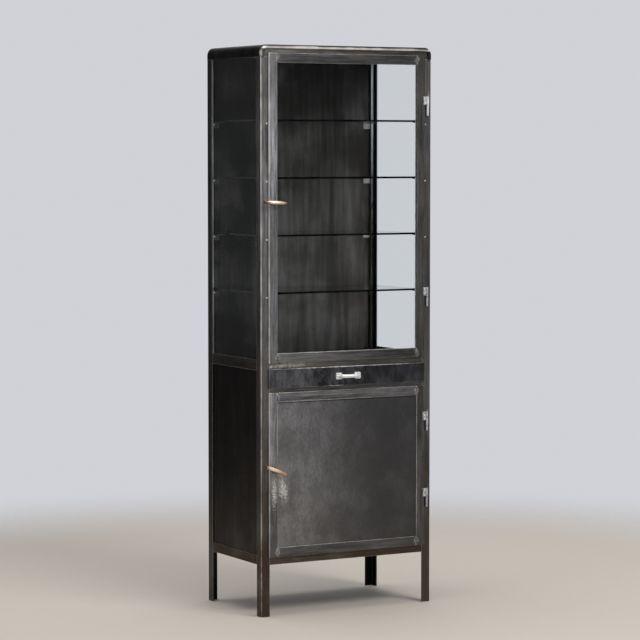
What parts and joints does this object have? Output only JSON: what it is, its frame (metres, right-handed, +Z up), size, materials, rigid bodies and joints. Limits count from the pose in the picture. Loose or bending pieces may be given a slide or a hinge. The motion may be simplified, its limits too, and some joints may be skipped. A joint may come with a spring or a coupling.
{
  "type": "medicine cabinet",
  "caption": "Tall angle-iron medicine cabinet: glazed vitrine with glass shelves over a drawer and a panelled cupboard, hinged doors with turn handles, on open legs.",
  "frame": {"origin": "on the floor under the middle of the bounding box", "axes": "+X to the right of someone facing the cabinet, -Y out of the front, +Z up"},
  "size_m": [0.62, 0.4036, 1.8],
  "materials": {
    "frame_steel": "stripped, blackened and waxed, with worn edges",
    "sheet_steel": "dark stripped sheet with vertical streaks",
    "door_steel": "stripped and blackened, brushed, weld marks at the corners",
    "panel_steel": "mottled grey patina",
    "pane_glass": "clear",
    "shelf_glass": "clear, ground edges",
    "bead_steel": "dark satin",
    "bright_steel": "bare, worn",
    "latch_steel": "bare",
    "copper": "polished, warm copper tone",
    "nickel": "satin nickel"
  },
  "bodies": {
    "carcass": {"front_left_post": "frame_steel", "front_right_post": "frame_steel", "rear_left_post": "frame_steel", "rear_right_post": "frame_steel", "top_cap": "frame_steel", "top_front_rail": "frame_steel", "top_rear_rail": "frame_steel", "middle_front_rail": "frame_steel", "drawer_front_rail": "frame_steel", "bottom_front_rail": "frame_steel", "middle_rear_rail": "frame_steel", "bottom_rear_rail": "frame_steel", "left_middle_rail": "frame_steel", "right_middle_rail": "frame_steel", "left_bottom_rail": "frame_steel", "right_bottom_rail": "frame_steel", "vitrine_floor": "sheet_steel", "bottom_panel": "sheet_steel", "upper_back_panel": "sheet_steel", "lower_back_panel": "sheet_steel", "left_lower_panel": "sheet_steel", "right_lower_panel": "sheet_steel", "left_drawer_runner": "sheet_steel", "right_drawer_runner": "sheet_steel", "left_side_glass": "pane_glass", "right_side_glass": "pane_glass", "glass_shelf_1": "shelf_glass", "glass_shelf_2": "shelf_glass", "glass_shelf_3": "shelf_glass", "glass_shelf_4": "shelf_glass", "side_glass_beads": "bead_steel", "shelf_clips": "bright_steel", "shelf_clip_screws": "bright_steel", "hinge_pins": "bright_steel"},
    "upper_door": {"upper_lock_stile": "door_steel", "upper_hinge_stile": "door_steel", "upper_door_top_rail": "door_steel", "upper_door_bottom_rail": "door_steel", "upper_door_glass": "pane_glass", "upper_door_beads": "bead_steel", "upper_hinge_knuckles": "bright_steel", "upper_handle_bush": "copper"},
    "upper_handle": {"upper_handle_bar": "copper", "upper_latch_spindle": "latch_steel", "upper_latch_arm": "latch_steel"},
    "lower_door": {"lower_lock_stile": "door_steel", "lower_hinge_stile": "door_steel", "lower_door_top_rail": "door_steel", "lower_door_bottom_rail": "door_steel", "lower_door_panel": "panel_steel", "lower_hinge_knuckles": "bright_steel", "lower_handle_bush": "copper"},
    "lower_handle": {"lower_handle_bar": "copper", "lower_latch_spindle": "latch_steel", "lower_latch_arm": "latch_steel"},
    "drawer": {"drawer_front": "door_steel", "drawer_tray": "sheet_steel", "drawer_pull": "nickel", "drawer_pull_screws": "nickel"}
  },
  "joints": [
    {"name": "upper_door_hinge", "type": "hinge", "parent": "carcass", "child": "upper_door", "pos_m": [0.295, -0.1758, 1.616], "axis": [0, 0, 1], "range_deg": [0, 110]},
    {"name": "lower_door_hinge", "type": "hinge", "parent": "carcass", "child": "lower_door", "pos_m": [0.295, -0.1758, 0.5965], "axis": [0, 0, 1], "range_deg": [0, 110]},
    {"name": "drawer_slide", "type": "slide", "parent": "carcass", "child": "drawer", "axis": [0, -1, 0], "range_m": [0, 0.26]},
    {"name": "upper_handle_turn", "type": "hinge", "parent": "upper_door", "child": "upper_handle", "pos_m": [-0.27, -0.1948, 1.307], "axis": [0, -1, 0], "range_deg": [0, 94]},
    {"name": "lower_handle_turn", "type": "hinge", "parent": "lower_door", "child": "lower_handle", "pos_m": [-0.27, -0.1948, 0.466], "axis": [0, -1, 0], "range_deg": [0, 111]}
  ]
}
